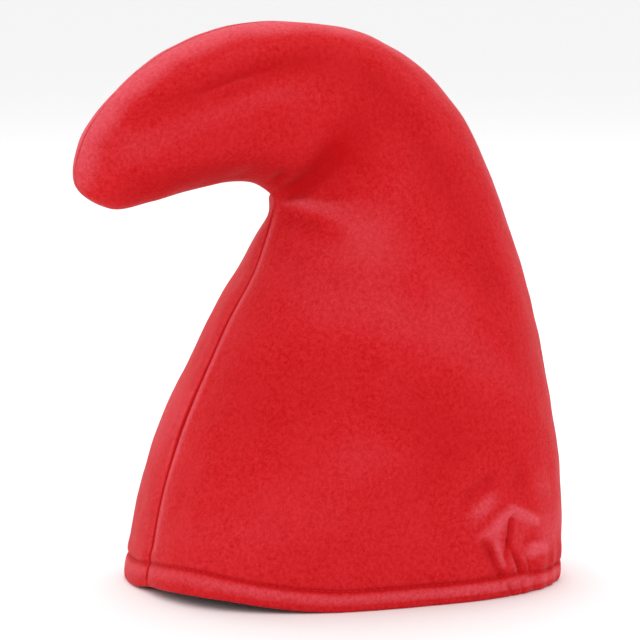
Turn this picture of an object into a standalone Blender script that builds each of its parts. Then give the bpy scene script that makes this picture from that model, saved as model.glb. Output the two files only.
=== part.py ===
"""Gnome hat: a tall soft cap whose rounded peak curls over to the front.

Two cloth panels, one for each side of the head, are sewn together along one seam. It runs up the front, under
the peak, round its tip, over the top and down the back, and its allowances stand inwards. At the rim the cloth is
turned up inside as a hem, and an elastic band lies in that hem across the nape, where it gathers the cloth.

+Z is up, the rim stands on z = 0 and the peak points to -Y. The origin is the middle of the bounding box's base.
"""

import math
from functools import partial
from typing import NamedTuple

import bmesh
import bpy
import numpy as np

MM = 0.001

# Driving dimensions
CLOTH = 2.5 * MM  # foam-backed fleece, both faces included
SEAM_GAP = 0.3 * MM  # between the two panels where they are sewn together
SEAM_ALLOWANCE = 7 * MM  # how far the sewn edges stand into the hat, past the cloth's inner face
SEAM_SINK = 1.5 * MM  # depth of the groove that the seam pulls into the outside
SEAM_SINK_REACH = 2.2 * MM
STITCH_HEIGHT = 11 * MM  # of the hem's stitching above the rim
STITCH_SINK = 0.9 * MM
STITCH_SINK_REACH = 2.2 * MM
HEM_TURN = 15 * MM  # height of the turned-up layer inside
HEM_SLOT = 1.6 * MM  # the space between the hem's two layers, where the elastic lies
HEM_PINCH = 0.3 * MM  # that space at the stitching
FOOT = 1.8 * MM  # the hem's fold is flat underneath from this depth on
LIFT_HEIGHT = 70 * MM  # the rim's arch by the front seam has run out at this height
ALLOWANCE_START = 23.5 * MM  # height from which the sewn edges stand inwards, clear of the turned-up layer
ELASTIC_HALF_LENGTH = 104 * MM  # along the rim, from the back seam to the band's end
ELASTIC_HEIGHT = 5 * MM
ELASTIC_THICKNESS = 1 * MM
ELASTIC_BASE = 3.7 * MM

RED = (0.66, 0.021, 0.031, 1.0)
ELASTIC_WHITE = (0.80, 0.79, 0.76, 1.0)


class Section(NamedTuple):
    """One section of the hat's outside, in millimetres, from its front or lower edge to its back or upper edge."""

    place: str
    front_y: float
    front_z: float
    back_y: float
    back_z: float
    width_ratio: float  # half width over half the distance between the two edges
    front_fullness: float  # superellipse exponent: 2 is an ellipse, more is blunter
    back_fullness: float


SECTIONS = (
    Section("rim", -107, 0, 104, 0, 0.84, 2.65, 2.60),
    Section("hem top", -103.8, 18, 104.5, 18, 0.84, 2.68, 2.60),
    Section("low side", -97.2, 50, 104, 52, 0.84, 2.70, 2.60),
    Section("brow", -82.6, 90, 99.5, 95, 0.87, 2.55, 2.40),
    Section("mid side", -65.2, 128, 91, 137, 0.91, 2.32, 2.30),
    Section("high side", -49.6, 156, 80, 174, 0.94, 2.00, 2.25),
    Section("under the notch", -41, 177, 71, 202, 0.94, 1.65, 2.20),
    Section("notch, low", -38.6, 184.5, 58, 228, 0.93, 1.45, 2.15),
    Section("notch", -38.6, 189, 34, 254, 0.91, 1.50, 2.10),
    Section("notch, high", -41.6, 192.6, 4, 270, 0.89, 1.70, 2.10),
    Section("root of the peak", -49.5, 196.8, -27, 274.5, 0.88, 1.95, 2.05),
    Section("peak", -66, 197.6, -64, 271.5, 0.86, 2.05, 2.05),
    Section("mid peak", -84, 194.3, -96, 259.5, 0.86, 2.05, 2.05),
    Section("near the tip", -104, 189.5, -120.6, 241, 0.88, 2.05, 2.05),
    Section("tip's start", -125, 187, -136.6, 219.5, 0.94, 2.05, 2.05),
)
TIP = (-140.5, 199.0)


class Fold(NamedTuple):
    """A crease or ridge in the cloth, in millimetres, along and up the hat."""

    place: str
    start_along: float
    start_up: float
    end_along: float
    end_up: float
    start_depth: float  # inwards: a negative depth is a ridge
    end_depth: float
    width: float  # from its middle to where it has run out


# Along is y here, as these are seen from the side.
SIDE_FOLDS = (
    Fold("crease from the notch", -33, 195.5, -26, 209, 2.6, 1.2, 8.5),
    Fold("crease into the peak", -40.5, 200, -43, 206, 1.2, 0.2, 6),
    Fold("ridge from the notch", -32, 187.4, -20, 187.6, -1.6, -1.0, 8),
    Fold("valley under the ridge", -30, 179.5, -18, 171, 2.0, 0.5, 10),
    Fold("long fold of the peak, front", -126, 229, -74, 250, 0.5, 1.8, 12),
    Fold("long fold of the peak, back", -74, 250, -30, 258, 1.8, 0.3, 12),
)
# Along is the distance from the back seam here, round the rim.
NAPE_GATHERS = (
    Fold("hem's pucker at the elastic's end", 103, 0, 103, 12, 1.4, 1.8, 7.0),
    Fold("crease over the elastic's end", 103, 22, 102, 34, 3.2, 1.8, 6.5),
    Fold("ridge before the crease", 111, 25, 109, 34, -2.0, -1.5, 7.0),
    Fold("valley before the ridge", 115, 14, 123, 25, 2.2, 1.0, 8.0),
    Fold("ridge behind the crease", 95, 24, 82, 32, -2.4, -1.0, 9.0),
    Fold("hem's pucker behind", 91, 0, 92, 14, 1.0, 1.4, 7.0),
    Fold("bump behind", 82, 18, 80, 20, -1.4, -1.2, 7.0),
    Fold("gather, outer", 66, 0, 66, 18, 1.2, 0.8, 13.0),
    Fold("gather, middle", 42, 0, 43, 20, 1.2, 0.8, 13.0),
    Fold("gather, inner", 18, 0, 18, 18, 1.2, 0.8, 13.0),
)

# The rim arches up a little by the front seam: distance from that seam and how high, in millimetres. A negative
# distance is on the wearer's right.
FRONT_LIFT = (
    (-60, 0.0), (-30, 0.0), (-16, 0.6), (0, 3.0), (20, 4.3), (40, 5.2), (58, 5.2), (72, 4.2), (86, 2.7), (100, 1.3),
    (118, 0.0), (140, 0.0),
)

# The grid that the panels are lofted on
PUCKER_SPAN = (124 * MM, 84 * MM)  # distances from the back seam, the elastic's end half way
FRONT_COLUMNS = 11
PUCKER_COLUMNS = 10
NAPE_COLUMNS = 8
SEAM_COLUMNS = (0.0, 2.6 * MM)  # distances from the seam
INNER_SEAM_COLUMNS = (0.0, 2.0 * MM)  # the same inside, from the allowance's root
SMALLEST_SHARES = (0.015, 0.030)  # at the tip, where the rows are shorter than those distances
WALL_HEIGHTS = tuple(h * MM for h in (5.5, 8.8, 11.0, 13.2, 18, 24, 31, 39, 49))
UPPER_ROWS = 19
TIP_ROWS = 5
TIP_START = 0.93
TIP_END = 0.9999
CURVE_POINTS = 181


def smooth_curve(knots, values, at):
    """The values at other places on a smooth curve through them, with tangents from neighbouring points."""
    knots, values, at = np.asarray(knots, float), np.asarray(values, float), np.asarray(at, float)
    step = np.diff(knots)
    slope = (np.diff(values, axis=0).T / step).T
    inner = ((slope[:-1].T * step[1:] + slope[1:].T * step[:-1]) / (step[1:] + step[:-1])).T
    tangent = np.concatenate([slope[:1], inner, slope[-1:]])
    k = np.clip(np.searchsorted(knots, at, side="right") - 1, 0, len(step) - 1)
    t = (at - knots[k]) / step[k]
    h = step[k]
    if values.ndim == 2:
        t, h = t[..., None], h[..., None]
    rise = t * t * (3 - 2 * t)
    return (
        values[k] * (1 - rise)
        + values[k + 1] * rise
        + tangent[k] * h * t * (1 - t) ** 2
        - tangent[k + 1] * h * t * t * (1 - t)
    )


def section_knots():
    """The place of each section along the hat, from 0 at the rim to 1 at the tip."""
    front = np.array([(s.front_y, s.front_z) for s in SECTIONS] + [TIP])
    back = np.array([(s.back_y, s.back_z) for s in SECTIONS] + [TIP])
    steps = np.linalg.norm(np.diff(front, axis=0), axis=1) + np.linalg.norm(np.diff(back, axis=0), axis=1)
    along = np.concatenate([[0], np.cumsum(steps)])
    return front * MM, back * MM, along / along[-1]


FRONT, BACK, KNOTS = section_knots()
# The front edge runs on round the tip into the back edge, so both come from one curve.
EDGE = np.concatenate([FRONT, BACK[-2::-1]])
EDGE_KNOTS = np.concatenate([KNOTS, 2 - KNOTS[-2::-1]])
SHAPES = np.array([(s.width_ratio, s.front_fullness, s.back_fullness) for s in SECTIONS])
SHAPES = np.concatenate([SHAPES, SHAPES[-1:]])


def section_curves(s):
    """The +X half of the section at each s as a chain of points from the front seam to the back seam."""
    front = smooth_curve(EDGE_KNOTS, EDGE, s)
    back = smooth_curve(EDGE_KNOTS, EDGE, 2 - s)
    ratio, front_full, back_full = smooth_curve(KNOTS, SHAPES, s).T
    middle, half = (front + back) / 2, (back - front) / 2
    half_width = ratio * np.linalg.norm(half, axis=1)
    turn = np.linspace(0, math.pi, CURVE_POINTS)
    blend = (1 + np.cos(turn)) / 2
    power = 2 / (front_full[:, None] * blend + back_full[:, None] * (1 - blend))
    along = -np.sign(np.cos(turn)) * np.abs(np.cos(turn)) ** power
    across = np.abs(np.sin(turn)) ** power
    points = np.empty((len(s), CURVE_POINTS, 3))
    points[..., 0] = half_width[:, None] * across
    points[..., 1:] = middle[:, None] + half[:, None] * along[..., None]
    return points


def arc_lengths(points):
    steps = np.linalg.norm(np.diff(points, axis=1), axis=2)
    return np.concatenate([np.zeros((len(points), 1)), np.cumsum(steps, axis=1)], axis=1)


def plain_surface(s, f):
    """The smooth outside at row places s (rows) and shares f (rows, columns) of the way from front to back seam.

    A share under 0 or over 1 is on the other side of the hat, across the front or back seam.
    """
    inside = np.where(f > 1, 2 - f, np.abs(f))
    side = np.where((f < 0) | (f > 1), -1.0, 1.0)
    curves = section_curves(s)
    lengths = arc_lengths(curves)
    found = np.empty((*f.shape, 3))
    for row in range(len(s)):
        at = inside[row] * lengths[row, -1]
        for axis in range(3):
            found[row, :, axis] = np.interp(at, lengths[row], curves[row, :, axis])
    found[..., 0] *= side
    return found


def normals_of(surface, s, f):
    """Outward unit normals, from differences of a surface function."""
    ds, df = 1e-3, 4e-3
    low, high = np.maximum(s - ds, 0), np.minimum(s + ds, 1 - 1e-6)
    along = surface(high, f) - surface(low, f)
    across = surface(s, f + df) - surface(s, f - df)
    normal = np.cross(across, along)
    return normal / np.maximum(np.linalg.norm(normal, axis=2, keepdims=True), 1e-12)


def fade(x):
    """1 at x = 0 and 0 from x = 1 on, smooth at both ends."""
    x = np.clip(np.abs(x), 0, 1)
    return (1 - x * x) ** 2


def fold_depth(folds, along, up):
    """How far a table of folds draws the outside in, at places in metres."""
    depth = np.zeros(np.broadcast_shapes(along.shape, up.shape))
    for fold in folds:
        start = np.array([fold.start_along, fold.start_up]) * MM
        run = np.array([fold.end_along, fold.end_up]) * MM - start
        share = ((along - start[0]) * run[0] + (up - start[1]) * run[1]) / (run @ run)
        share = np.clip(share, 0, 1)
        off = np.hypot(along - start[0] - run[0] * share, up - start[1] - run[1] * share)
        middle = fold.start_depth + (fold.end_depth - fold.start_depth) * share
        depth += middle * MM * fade(off / (fold.width * MM))
    return depth


def front_lift(from_front_seam, height):
    """How far the rim is lifted, at a distance from the front seam that is negative on the wearer's right."""
    table = np.array(FRONT_LIFT) * MM
    at = np.clip(from_front_seam, table[0, 0], table[-1, 0])
    lift = np.maximum(smooth_curve(table[:, 0], table[:, 1], at), 0)
    return lift * fade(height / LIFT_HEIGHT)


def outside(s, f, side=1):
    """The hat's outside with its folds and gathers, but without the grooves of seam and stitching.

    Side is 1 for the wearer's left and -1 for the right, which is given as its mirror image.
    """
    points = plain_surface(s, f)
    length = arc_lengths(section_curves(s))[:, -1][:, None]
    from_back_seam = np.abs(1 - f) * length
    depth = fold_depth(SIDE_FOLDS, points[..., 1], points[..., 2])
    depth += fold_depth(NAPE_GATHERS, from_back_seam, points[..., 2])
    points = points - normals_of(plain_surface, s, f) * depth[..., None]
    points[..., 2] += front_lift(side * f * length, points[..., 2])
    return points


def column_shares(s, near):
    """Shares of the way from the front to the back seam for each row, closer together where the cloth gathers.

    The columns at each end keep the given distances from the seam.
    """
    length = arc_lengths(section_curves(s))[:, -1]
    rim_length = arc_lengths(section_curves(np.zeros(1)))[0, -1]
    pucker_start, pucker_end = 1 - np.array(PUCKER_SPAN) / rim_length
    near = np.minimum(near / length[:, None], SMALLEST_SHARES)
    front = np.linspace(0, pucker_start, FRONT_COLUMNS, endpoint=False)[1:]
    pucker = np.linspace(pucker_start, pucker_end, PUCKER_COLUMNS, endpoint=False)
    nape = np.linspace(pucker_end, 1, NAPE_COLUMNS, endpoint=False)
    middle = np.repeat(np.concatenate([front, pucker, nape])[None], len(s), axis=0)
    return np.concatenate([near, middle, 1 - near[:, ::-1]], axis=1)


def row_places():
    """Row places from the hem's fold to the tip, closer together where the tip closes."""
    side_height = (FRONT[:, 1] + BACK[:, 1]) / 2
    low = np.interp(WALL_HEIGHTS, side_height[:5], KNOTS[:5])
    upper = np.linspace(low[-1], TIP_START, UPPER_ROWS + 1)[1:]
    closing = 1 - (1 - np.linspace(0, 1, TIP_ROWS + 1)[1:]) ** 1.5
    return np.concatenate([low, upper, TIP_START + (TIP_END - TIP_START) * closing])


def row_heights(s):
    """The height of each low row over the rim, half way between its front and back."""
    return np.interp(s, KNOTS[:5], (FRONT[:5, 1] + BACK[:5, 1]) / 2)


def groove_depth(s, f):
    """Depth of the grooves that the seam and the hem's stitching pull into the outside."""
    length = arc_lengths(section_curves(s))[:, -1][:, None]
    from_seam = np.minimum(f, 1 - f) * length
    seam = SEAM_SINK * np.clip(length / (60 * MM), 0, 1) * np.exp(-((from_seam / SEAM_SINK_REACH) ** 2))
    stitch = STITCH_SINK * np.exp(-(((row_heights(s) - STITCH_HEIGHT) / STITCH_SINK_REACH) ** 2))
    return np.maximum(seam, stitch[:, None])


class Turn(NamedTuple):
    """One line of the hem's fold: how deep in from the outside and how high over the rim its two faces are."""

    outer_depth: float
    outer_height: float
    inner_depth: float
    inner_height: float


SLOT_BACK = CLOTH + HEM_SLOT
FOLD_BACK = SLOT_BACK + CLOTH
TURNS = (
    Turn(2 * CLOTH + 2 * HEM_PINCH, HEM_TURN, CLOTH + 2 * HEM_PINCH, HEM_TURN),
    Turn(2 * CLOTH, STITCH_HEIGHT, CLOTH + HEM_PINCH, STITCH_HEIGHT),
    Turn(FOLD_BACK, 9 * MM, SLOT_BACK, 9.4 * MM),
    Turn(FOLD_BACK, 3.2 * MM, SLOT_BACK, 3.4 * MM),
    Turn(FOLD_BACK - 0.7 * MM, 0.8 * MM, SLOT_BACK - 0.15 * HEM_SLOT, 2.8 * MM),
    Turn(FOLD_BACK - FOOT, 0.0, SLOT_BACK - 0.35 * HEM_SLOT, 2.5 * MM),
    Turn(FOOT, 0.0, CLOTH + 0.35 * HEM_SLOT, 2.5 * MM),
    Turn(0.7 * MM, 0.8 * MM, CLOTH + 0.15 * HEM_SLOT, 2.8 * MM),
    Turn(0.0, 3.2 * MM, CLOTH, 3.4 * MM),
)


def at_heights(heights, depths, f, side=1):
    """Points by the rim at these heights and depths into the hat, one row for each pair."""
    heights, depths = np.asarray(heights)[:, None], np.asarray(depths)[:, None, None]
    s = np.interp(heights[:, 0], FRONT[:2, 1], KNOTS[:2])
    f = np.broadcast_to(f, (len(heights), f.shape[-1]))
    normal = normals_of(partial(outside, side=side), s, f)
    normal[..., 2] = 0
    normal /= np.linalg.norm(normal, axis=2, keepdims=True)
    points = outside(s, f, side) - normal * depths
    points[..., 2] = heights + front_lift(side * f * arc_lengths(section_curves(s))[:, -1:], heights)
    return points


def allowance(s):
    """How far the sewn edge of each row stands inwards: nothing in the hem and at the tip."""
    size = arc_lengths(section_curves(s))[:, -1]
    return np.where((size > 100 * MM) & (row_heights(s) > ALLOWANCE_START), SEAM_ALLOWANCE, 0.0)


def panel_rows(side):
    """Both faces of a panel as rows from the hem's inner edge to the tip, with each row's seam allowance.

    The right panel, for side -1, is given as its mirror image.
    """
    surface = partial(outside, side=side)
    near, inner_near = np.array(SEAM_COLUMNS)[None], np.array(INNER_SEAM_COLUMNS)[None]
    wall = row_places()
    shares = column_shares(wall, near)
    outer_wall = surface(wall, shares)
    stand = allowance(wall)
    root = SEAM_GAP / 2 + np.minimum(CLOTH, stand)[:, None]
    inner_shares = column_shares(wall, inner_near + root)
    normal = normals_of(surface, wall, inner_shares)
    inner_wall = surface(wall, inner_shares) - normal * CLOTH
    outer_normal = normals_of(surface, wall, shares)
    outer_wall = outer_wall - outer_normal * groove_depth(wall, shares)[..., None]
    outer_wall[-1] = outer_wall[-1].mean(axis=0)
    inner_wall[-1] = inner_wall[-1].mean(axis=0)
    turned = [np.array(column) for column in zip(*TURNS)]
    rim_shares = column_shares(np.zeros(1), near)
    outer = np.concatenate([at_heights(turned[1], turned[0], rim_shares, side), outer_wall])
    inner = np.concatenate([at_heights(turned[3], turned[2], rim_shares, side), inner_wall])
    hem = np.zeros(len(TURNS))
    normal = np.concatenate([np.zeros((len(TURNS), *normal.shape[1:])), normal])
    return outer, inner, normal, np.concatenate([hem, stand])


def panel_mesh(side):
    """One panel as a closed body, on the wearer's left for side 1 and right for side -1."""
    outer, inner, normal, stand = panel_rows(side)
    plane = SEAM_GAP / 2
    root = plane + np.minimum(CLOTH, stand)
    outer[..., 0] = np.maximum(outer[..., 0], plane)
    outer[:, (0, -1), 0] = plane
    inner[..., 0] = np.maximum(inner[..., 0], root[:, None])
    inner[:, (0, -1), 0] = root[:, None]
    outer[-1, :, 0] = inner[-1, :, 0] = plane
    edges = []
    for column in (-1, 0):
        inwards = normal[:, column].copy()
        inwards[:, 0] = 0
        inwards /= np.maximum(np.linalg.norm(inwards, axis=1, keepdims=True), 1e-9)
        off_plane = inner[:, column] - inwards * stand[:, None]
        on_plane = off_plane.copy()
        on_plane[:, 0] = plane
        edges += [on_plane[:, None], off_plane[:, None]]
    back_on, back_off, front_on, front_off = edges
    rings = np.concatenate([outer, back_on, back_off, inner[:, ::-1], front_off, front_on], axis=1)
    rings[..., 0] *= side
    return lofted(rings, outer.shape[1])


def lofted(rings, face_columns):
    """A closed mesh through rings of points: the first ring's two faces are joined, the last ring is a point."""
    mesh = bmesh.new()
    rows, count = rings.shape[:2]
    corners = [[mesh.verts.new(p) for p in ring] for ring in rings]
    for i in range(rows - 1):
        for j in range(count):
            k = (j + 1) % count
            mesh.faces.new((corners[i][j], corners[i][k], corners[i + 1][k], corners[i + 1][j]))
    first = corners[0]
    for j in range(face_columns - 1):
        k = 2 * face_columns + 1 - j
        mesh.faces.new((first[j], first[j + 1], first[k - 1], first[k]))
    bmesh.ops.remove_doubles(mesh, verts=mesh.verts, dist=0.01 * MM)
    bmesh.ops.recalc_face_normals(mesh, faces=mesh.faces)
    return mesh


def elastic_mesh():
    """The elastic band in the hem's slot, from one side of the back seam to the other."""
    rim_length = arc_lengths(section_curves(np.zeros(1)))[0, -1]
    near = np.array(SEAM_COLUMNS)[None]
    half_span = column_shares(np.zeros(1), near)[0]
    half_span = half_span[(1 - half_span) * rim_length < ELASTIC_HALF_LENGTH + 0.1 * MM]
    shares = np.concatenate([half_span, 2 - half_span[-2::-1]])[None]
    depth = CLOTH + HEM_SLOT / 2
    half = ELASTIC_THICKNESS / 2
    top = ELASTIC_BASE + ELASTIC_HEIGHT
    heights = np.array([ELASTIC_BASE, ELASTIC_BASE, top, top])
    depths = np.array([depth - half, depth + half, depth + half, depth - half])
    rings = at_heights(heights, depths, shares).transpose(1, 0, 2)
    mesh = bmesh.new()
    corners = [[mesh.verts.new(p) for p in ring] for ring in rings]
    for i in range(len(corners) - 1):
        for j in range(4):
            k = (j + 1) % 4
            mesh.faces.new((corners[i][j], corners[i][k], corners[i + 1][k], corners[i + 1][j]))
    mesh.faces.new(corners[0])
    mesh.faces.new(corners[-1])
    bmesh.ops.recalc_face_normals(mesh, faces=mesh.faces)
    return mesh


def material(name, colour, roughness):
    made = bpy.data.materials.new(name)
    made.use_nodes = True
    shader = made.node_tree.nodes["Principled BSDF"]
    shader.inputs["Base Color"].default_value = colour
    shader.inputs["Roughness"].default_value = roughness
    shader.inputs["Metallic"].default_value = 0.0
    return made


def add_object(name, mesh, finish, collection):
    data = bpy.data.meshes.new(name)
    mesh.to_mesh(data)
    mesh.free()
    data.materials.append(finish)
    data.shade_smooth()
    data.set_sharp_from_angle(angle=math.radians(50))
    made = bpy.data.objects.new(name, data)
    collection.objects.link(made)
    return made


def centre_on_base(objects):
    """Moves every object so that the origin is the middle of the bounding box's base."""
    points = np.array([v.co for o in objects for v in o.data.vertices])
    low, high = points.min(axis=0), points.max(axis=0)
    for o in objects:
        o.location = (-(low[0] + high[0]) / 2, -(low[1] + high[1]) / 2, -low[2])


def main():
    for old in list(bpy.data.objects):
        bpy.data.objects.remove(old, do_unlink=True)
    collection = bpy.data.collections.new("gnome_hat")
    bpy.context.scene.collection.children.link(collection)
    fleece = material("red_fleece", RED, 0.95)
    rubber = material("white_elastic", ELASTIC_WHITE, 0.7)
    parts = [
        add_object("left_panel", panel_mesh(1), fleece, collection),
        add_object("right_panel", panel_mesh(-1), fleece, collection),
        add_object("nape_elastic", elastic_mesh(), rubber, collection),
    ]
    centre_on_base(parts)


main()
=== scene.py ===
"""Looks of the gnome hat: two panels of brushed red fleece, with a stitched hem gathered at the nape.

The panels follow the same sections as the CAD solids, on a finer grid and with finer folds. The hem's threads
and the elastic band are pieces of their own.
"""

import math
from typing import NamedTuple

import bmesh
import bpy
import numpy as np
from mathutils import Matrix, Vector


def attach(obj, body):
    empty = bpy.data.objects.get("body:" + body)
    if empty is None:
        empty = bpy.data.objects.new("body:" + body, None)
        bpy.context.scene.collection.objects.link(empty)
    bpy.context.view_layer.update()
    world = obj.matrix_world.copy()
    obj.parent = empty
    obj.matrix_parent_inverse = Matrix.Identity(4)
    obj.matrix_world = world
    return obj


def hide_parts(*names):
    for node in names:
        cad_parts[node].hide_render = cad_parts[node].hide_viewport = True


MM = 0.001

# The CAD's own dimensions
CLOTH = 2.5 * MM
SEAM_ALLOWANCE = 7 * MM
ALLOWANCE_START = 21 * MM  # height over which the allowances stand free of the hem
ALLOWANCE_GROWTH = 3 * MM
ALLOWANCE_ROW = 70 * MM  # shorter rows have no allowance, and those twice as long have all of it
STITCH_HEIGHT = 11 * MM
HEM_TURN = 15 * MM
HEM_SLOT = 1.6 * MM
HEM_PINCH = 0.3 * MM
HEM_CORNER = 3.2 * MM  # height of the fold's rounded edges
FOOT = 1.8 * MM  # and their depth
SLOT_CORNER = 0.9 * MM
LIFT_HEIGHT = 70 * MM
ELASTIC_HALF_LENGTH = 104 * MM
ELASTIC_HEIGHT = 5 * MM
ELASTIC_THICKNESS = 1 * MM
ELASTIC_BASE = 3.7 * MM
# From the sections' own coordinates to the frame, whose origin is the middle of the box's base
FRAME_SHIFT = np.array([0.0, 18.215 * MM, 0.0])

# The seam and the hem's stitching, seen from outside
HALF_GAP = 0.05 * MM  # each panel's distance from the seam's plane
SEAM_ROLL = 1.7 * MM  # radius of the sewn edges, where they roll into the seam
SEAM_DIP = 0.55 * MM  # a wider dip along the seam
SEAM_DIP_REACH = 5.5 * MM
SEAM_END_ROW = 60 * MM  # the seam gets shallower towards the tip, on rows shorter than this
PEAK_SEAM_CLOSED = 0.88  # how much of the seam the nap hides on the peak
PEAK_BOTTOM = 172 * MM
PEAK_BACK = -5 * MM
STITCH_ROLL = 1.9 * MM  # how far the cloth bends down to the hem's stitching on both sides
STITCH_SINK = 0.65 * MM
STITCH_SINK_VARIES = 0.18
STITCH_LINE_REACH = 9 * MM  # how far over and under it the cloth follows the stitching up and down
HEM_BULGE = 0.4 * MM
HEM_BULGE_HEIGHT = 6.3 * MM
HEM_BULGE_REACH = 4.9 * MM
WALL_BULGE = 0.3 * MM
WALL_BULGE_HEIGHT = 16 * MM
WALL_BULGE_REACH = 5.5 * MM
STITCH_PITCH = 3.3 * MM
STITCH_LENGTH = 2.5 * MM
STITCH_STATIONS = 9
FIRST_STITCH = 0.5 * MM
INNER_STITCH_DEPTH = 2 * CLOTH - 0.7 * MM
THREAD = 0.22 * MM  # radius
THREAD_SIDES = 6

# The cloth's own unevenness and the right side's differences
NOTCH_Y = -40 * MM
NOTCH_Z = 191 * MM
LEFT_WANDER = 0.3 * MM
RIGHT_WANDER = 0.55 * MM
LOW_WANDER_SHARE = 0.25
FINE_WAVE = 0.14 * MM
SWAY_SIZE = 0.7 * MM
RIGHT_FOLD_SHARE = 0.85
RIGHT_FOLD_SHIFT = 2 * MM
RIGHT_GATHER_SHIFT = 3.5 * MM
RIGHT_DENT_SHARE = 0.6
RIGHT_DENT_SHIFT_Y = 9 * MM
RIGHT_DENT_SHIFT_Z = 5 * MM

# Painted shade and highlight on the nap: what darkens it as painted shade, and what makes it paler as a
# painted highlight
FOLD_OF_FULL_SHADE = 2.6 * MM  # depth of a fold that gets the full painted shade
# depth of a dent that gets the full painted shade
DENT_OF_FULL_SHADE = 4.5 * MM
# painted shade along the seam's groove
SEAM_SHADE = 1.5
SEAM_SHADE_REACH = 1.1 * MM
LEFT_LIP_HIGHLIGHT = 0.8  # painted highlight on the lip beside the seam
RIGHT_LIP_HIGHLIGHT = 0.15
LIP_DISTANCE = 3.4 * MM
LIP_REACH = 2.0 * MM
LIP_START = 14 * MM  # height
# painted shade along the hem's stitching
STITCH_SHADE = 1.1
STITCH_SHADE_REACH = 1.0 * MM
# painted highlight on the hem's top edge, under the stitching
HEM_HIGHLIGHT = 0.5
HEM_HIGHLIGHT_HEIGHT = STITCH_HEIGHT - 3.6 * MM
HEM_HIGHLIGHT_REACH = 3.8 * MM

# Grid
NEAR_COLUMNS = tuple(d * MM for d in (0.0, 0.10, 0.32, 0.65, 1.05, 1.55, 2.3, 3.4, 5.0, 7.0))
SHORT_ROW = 75 * MM  # the columns near the seam draw together on rows shorter than this
FINE_SPAN = (134 * MM, 79 * MM)  # distances from the back seam, the elastic's end between them
FRONT_COLUMN = 2.7 * MM
FINE_COLUMN = 0.95 * MM
NAPE_COLUMN = 1.9 * MM
STITCH_ROWS = (-1.5, -1.1, -0.75, -0.45, -0.2, 0, 0.2, 0.45, 0.75, 1.1, 1.5)  # millimetres from the stitching
UPPER_ROW = 2.15 * MM
TIP_START = 0.93
TIP_END = 0.9998
TIP_ROWS = 14
PATH_POINTS = 400
CURVE_POINTS = 561
ELASTIC_COLUMNS = 90
PATH_STEP = 0.2 * MM  # between the points that the stitches follow
MERGE_DISTANCE = 0.004 * MM
SHARP_ANGLE = math.radians(60)
LOW_SECTIONS = 5  # up to here a row's middle rises evenly enough to name its height

# Camera and picture
CAMERA_AZIMUTH = math.radians(25)  # from +X towards -Y
CAMERA_ELEVATION = math.radians(6.6)
CAMERA_DISTANCE = 1.8
CAMERA_TARGET = Vector((0, 0, 140 * MM))
AIM_RIGHT = 4.2 * MM
AIM_UP = -11.35 * MM
METRES_PER_PIXEL = 0.489 * MM
PICTURE_WIDTH = 640
SENSOR_WIDTH = 36  # millimetres
WORLD_STRENGTH = 0.97
FLOOR_RADIUS = 30


class Section(NamedTuple):
    """A section of the outside, in millimetres, from its front or lower edge to its back or upper one."""

    place: str
    front_y: float
    front_z: float
    back_y: float
    back_z: float
    width_ratio: float
    front_fullness: float
    back_fullness: float


SECTIONS = (
    Section("rim", -107, 0, 104, 0, 0.84, 2.65, 2.60),
    Section("hem top", -103.8, 18, 104.5, 18, 0.84, 2.68, 2.60),
    Section("low side", -97.2, 50, 104, 52, 0.84, 2.70, 2.60),
    Section("brow", -82.6, 90, 99.5, 95, 0.87, 2.55, 2.40),
    Section("mid side", -65.2, 128, 91, 137, 0.91, 2.32, 2.30),
    Section("high side", -49.6, 156, 80, 174, 0.94, 2.00, 2.25),
    Section("under the notch", -41, 177, 71, 202, 0.94, 1.65, 2.20),
    Section("notch, low", -38.6, 184.5, 58, 228, 0.93, 1.45, 2.15),
    Section("notch", -38.6, 189, 34, 254, 0.91, 1.50, 2.10),
    Section("notch, high", -41.6, 192.6, 4, 270, 0.89, 1.70, 2.10),
    Section("root of the peak", -49.5, 196.8, -27, 274.5, 0.88, 1.95, 2.05),
    Section("peak", -66, 197.6, -64, 271.5, 0.86, 2.05, 2.05),
    Section("mid peak", -84, 194.3, -96, 259.5, 0.86, 2.05, 2.05),
    Section("near the tip", -104, 189.5, -120.6, 241, 0.88, 2.05, 2.05),
    Section("tip's start", -125, 187, -136.6, 219.5, 0.94, 2.05, 2.05),
)
TIP = (-140.5, 199.0)


class Fold(NamedTuple):
    """A crease or ridge as a line of (along, up, depth in) in millimetres, with its width on either side."""

    place: str
    line: tuple
    left: float  # seen along the line, with along to the right and up upwards
    right: float
    sharp: float  # 0 is a round bottom, 1 a sharp one


# Along is y here, as these are seen from the side.
SIDE_FOLDS = (
    Fold("crease from the notch",
         ((-39.5, 190.5, 0.6), (-36.5, 192.4, 1.9), (-33, 195.3, 2.8), (-29, 200.5, 2.6), (-24.5, 208, 1.5),
          (-18.5, 217, 0)), 8, 7, 0.45),
    Fold("crease into the peak", ((-42, 196, 0.5), (-42.9, 200, 1.6), (-43.3, 206, 0)), 5, 5, 0.4),
    Fold("nip over the ridge", ((-37, 189.2, 0.3), (-34.5, 190.2, 1.5), (-30, 191.4, 0)), 2.6, 2.6, 0.4),
    Fold("ridge from the notch",
         ((-38, 186.8, -0.4), (-34.5, 187.8, -1.8), (-29, 188, -1.7), (-22, 187.6, -1.1),
          (-10, 189.5, 0)), 5, 9, 0.2),
    Fold("valley under the ridge",
         ((-37.5, 185, 0.3), (-34.5, 183.8, 1.4), (-29.5, 180, 1.3), (-23, 174.5, 0.8),
          (-14, 169, 0)), 6, 12, 0.2),
    Fold("long fold of the peak",
         ((-124, 229.5, 0), (-116, 233.5, 0.8), (-104, 238.5, 1.3), (-88, 244, 1.5), (-72, 249, 1.9),
          (-60, 253, 2.1), (-45, 256.5, 1.6), (-30, 258, 0.9), (-18, 258, 0)), 8, 11, 0.35),
    Fold("lip of the long fold",
         ((-92, 239.6, 0), (-80, 243.8, -1.1), (-66, 248.4, -1.3), (-55, 251.4, 0)), 1.8, 3.2, 0.3),
)
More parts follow.
